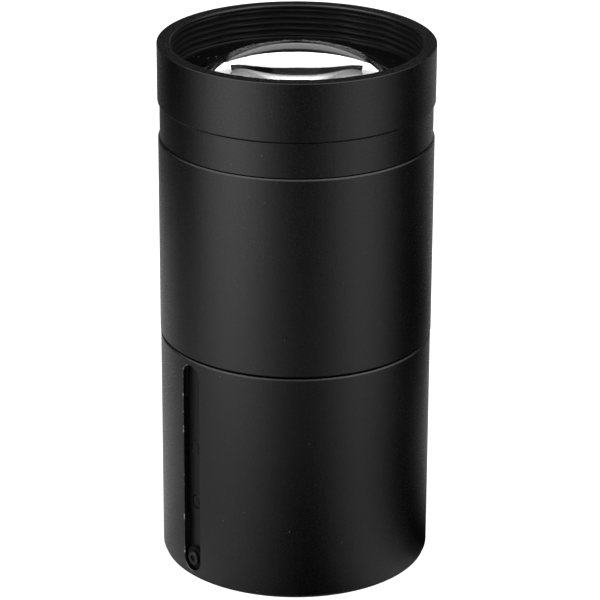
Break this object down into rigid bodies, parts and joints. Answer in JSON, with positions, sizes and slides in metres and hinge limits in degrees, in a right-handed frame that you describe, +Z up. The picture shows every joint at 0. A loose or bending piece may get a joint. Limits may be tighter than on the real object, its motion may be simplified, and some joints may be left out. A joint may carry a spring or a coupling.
{
  "type": "viewing loupe",
  "caption": "Tall viewing loupe for ground glass and film: slotted lower barrel, draw-tube upper barrel and a screw-focused eyepiece around a domed lens.",
  "frame": {"origin": "centre of the foot, on the surface that the loupe stands on", "axes": "+Z up along the optical axis, towards the eye; the guide slot in the lower barrel faces -Y"},
  "size_m": [0.06, 0.06, 0.1181],
  "materials": {
    "black_anodised": "satin black anodised",
    "inner_black": "matt black anodised",
    "grained_black": "grained matt black paint",
    "black_steel": "black oxide",
    "black_nylon": "moulded nylon",
    "black_felt": "pressed felt",
    "foot_rubber": "matt rubber",
    "optical_glass": "polished, anti-reflection coated"
  },
  "bodies": {
    "base": {"lower_barrel": "black_anodised", "base_ring": "foot_rubber", "felt_liner_lower": "black_felt", "felt_liner_upper": "black_felt"},
    "draw_tube": {"upper_barrel": "black_anodised", "inner_tube": "black_anodised", "guide_bush": "black_nylon", "guide_screw": "black_steel", "cell_key_screw": "black_steel", "set_screw_lower": "black_steel", "set_screw_upper": "black_steel", "baffle_lower": "inner_black", "baffle_upper": "inner_black"},
    "optics": {"lens_cell": "inner_black", "front_crown_lens": "optical_glass", "front_flint_lens": "optical_glass", "lens_spacer": "inner_black", "rear_lens": "optical_glass", "lens_retaining_ring": "grained_black", "thrust_washer": "black_nylon"},
    "eyepiece": {"eyepiece_ring": "black_anodised", "focus_sleeve": "black_anodised", "stop_ring": "black_steel"}
  },
  "joints": [
    {"name": "barrel_draw", "type": "slide", "parent": "base", "child": "draw_tube", "axis": [0, 0, 1], "range_m": [0, 0.0435]},
    {"name": "focus_travel", "type": "slide", "parent": "draw_tube", "child": "optics", "axis": [0, 0, 1], "range_m": [0, 0.00551]},
    {"name": "focus_turn", "type": "hinge", "parent": "optics", "child": "eyepiece", "pos_m": [0, 0, 0.11], "axis": [0, 0, 1], "range_deg": [0, 330]}
  ],
  "couplings": [
    {"joint": "focus_travel", "follows": "focus_turn", "m_per_rad": 0.00095493}
  ]
}
